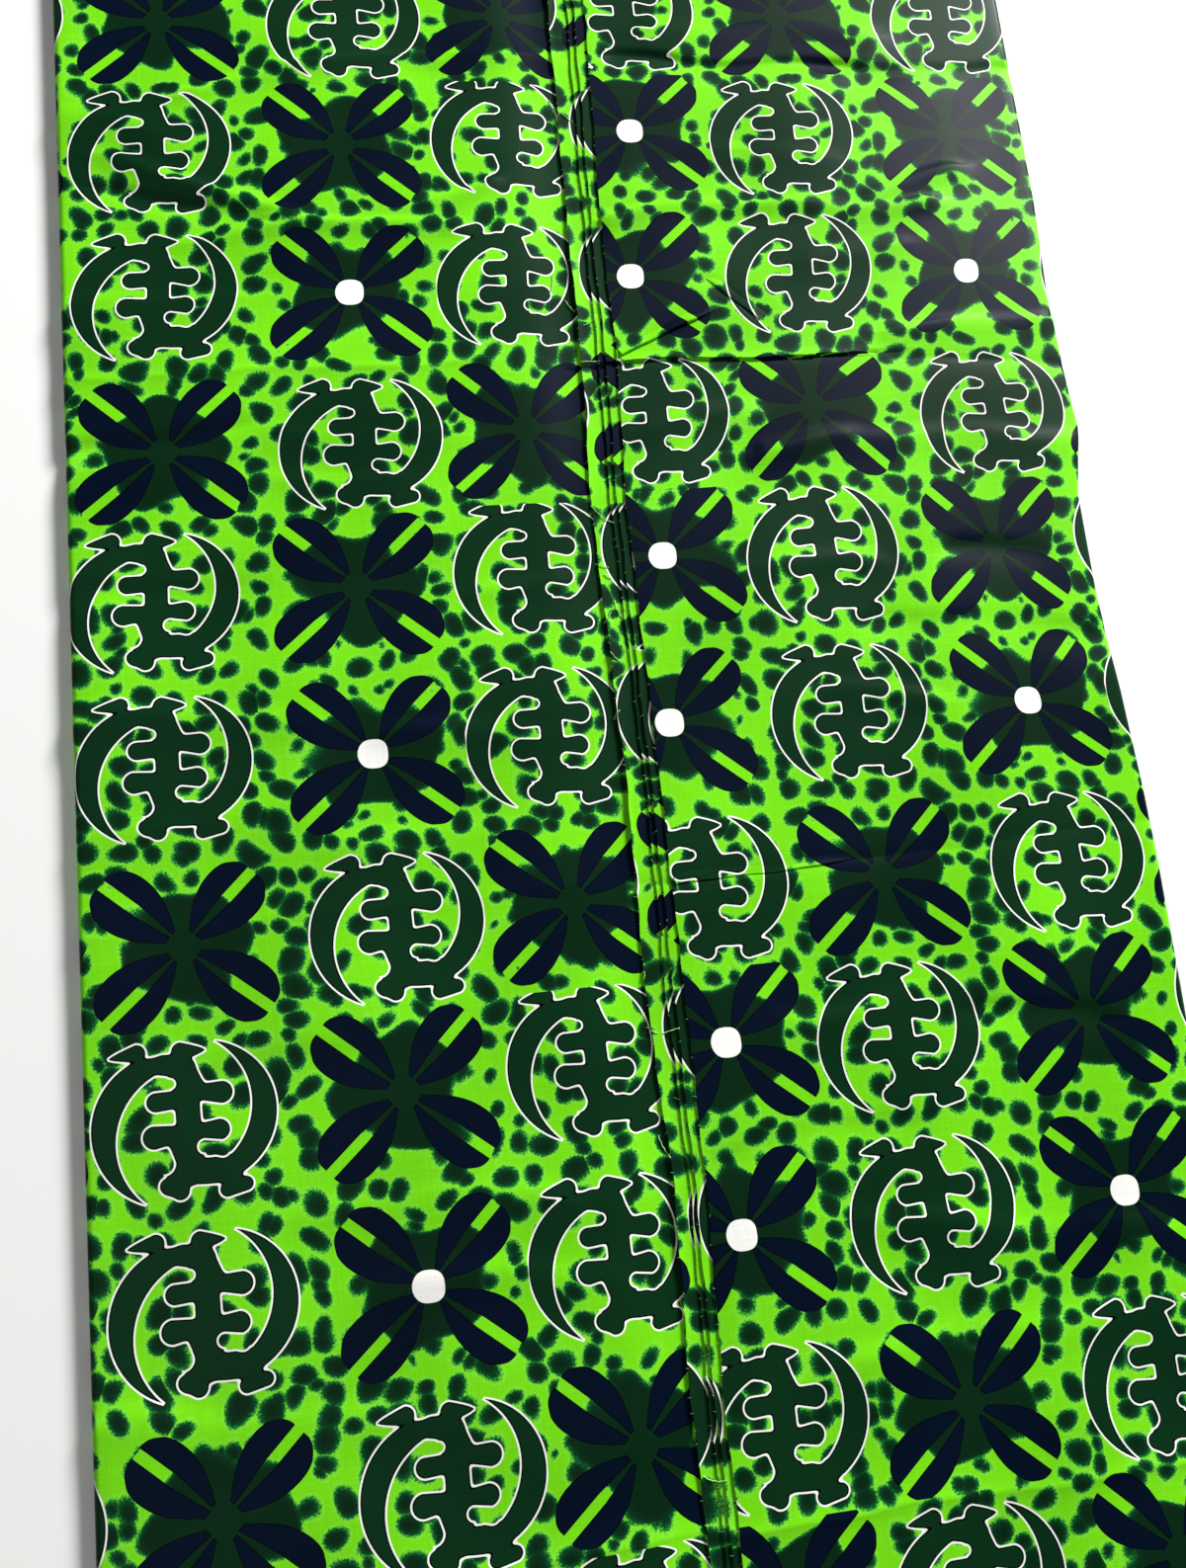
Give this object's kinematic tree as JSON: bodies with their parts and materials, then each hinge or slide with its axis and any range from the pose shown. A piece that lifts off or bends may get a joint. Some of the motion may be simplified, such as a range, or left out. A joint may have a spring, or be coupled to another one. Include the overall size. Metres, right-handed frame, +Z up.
{
  "type": "folded length of wax print fabric",
  "caption": "Printed cotton cloth folded flat: stacked lengths, both long sides folded over so that the raw woven edges meet near the middle.",
  "frame": {"origin": "on the underside, at the middle of the folded cloth", "axes": "+X across the folded cloth to the right side's fold, +Y along it towards the tops of the printed figures, +Z up"},
  "size_m": [0.585, 1.3716, 0.0105],
  "materials": {
    "hidden_print": "plain-woven cotton, printed, the folded layers' ends",
    "left_print": "plain-woven cotton with a light calendered sheen, lime ground with dark green and navy print",
    "right_print": "plain-woven cotton with a light calendered sheen, lime ground with dark green and navy print",
    "edge_print": "plain-woven cotton with a light calendered sheen and a fraying woven edge"
  },
  "bodies": {
    "root": {"under_layers": "hidden_print", "left_panel": "left_print", "right_panel": "right_print", "second_layer": "edge_print", "third_layer": "edge_print", "fourth_layer": "edge_print"}
  },
  "joints": []
}
